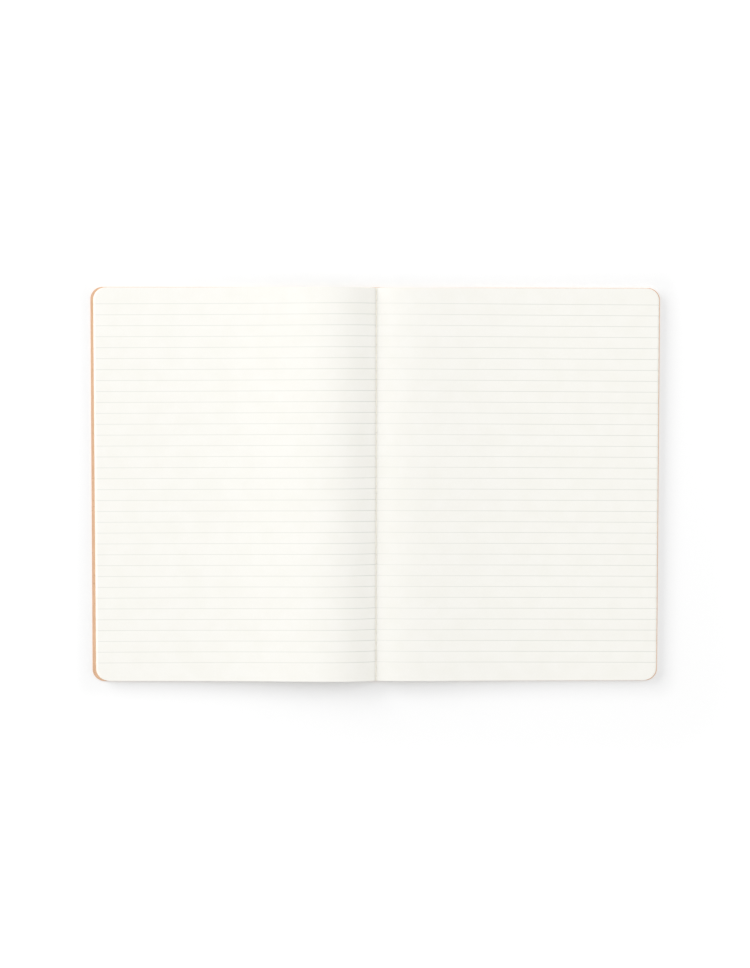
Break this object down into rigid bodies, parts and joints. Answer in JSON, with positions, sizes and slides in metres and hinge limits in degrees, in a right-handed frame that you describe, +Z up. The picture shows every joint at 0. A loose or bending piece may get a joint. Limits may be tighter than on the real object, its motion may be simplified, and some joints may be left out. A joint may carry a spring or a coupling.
{
  "type": "open composition notebook",
  "caption": "Softcover notebook lying open at its middle: one sewn section of ruled leaves that bulge beside the fold, in a folded brown card cover whose two halves swing down about the spine.",
  "frame": {"origin": "centre of the footprint, on the surface that the notebook lies on", "axes": "+X across the spread towards the right page, +Y up the page towards its head, +Z up"},
  "size_m": [0.3568, 0.2476, 0.0066],
  "materials": {
    "page_paper": "matt uncoated ruled paper",
    "cover_card": "matt brown kraft card",
    "sewing_thread": "cream twisted thread"
  },
  "bodies": {
    "sewn_pages": {"page_block": "page_paper", "spine": "cover_card", "inner_thread": "sewing_thread", "outer_thread": "sewing_thread"},
    "front_leaf": {"front_cover": "cover_card"},
    "back_leaf": {"back_cover": "cover_card"}
  },
  "joints": [
    {"name": "front_cover_fold", "type": "hinge", "parent": "sewn_pages", "child": "front_leaf", "pos_m": [-0.00268, 0, 0.0002], "axis": [0, -1, 0], "range_deg": [0, 90]},
    {"name": "back_cover_fold", "type": "hinge", "parent": "sewn_pages", "child": "back_leaf", "pos_m": [0.00328, 0, 0.0002], "axis": [0, 1, 0], "range_deg": [0, 90]}
  ]
}
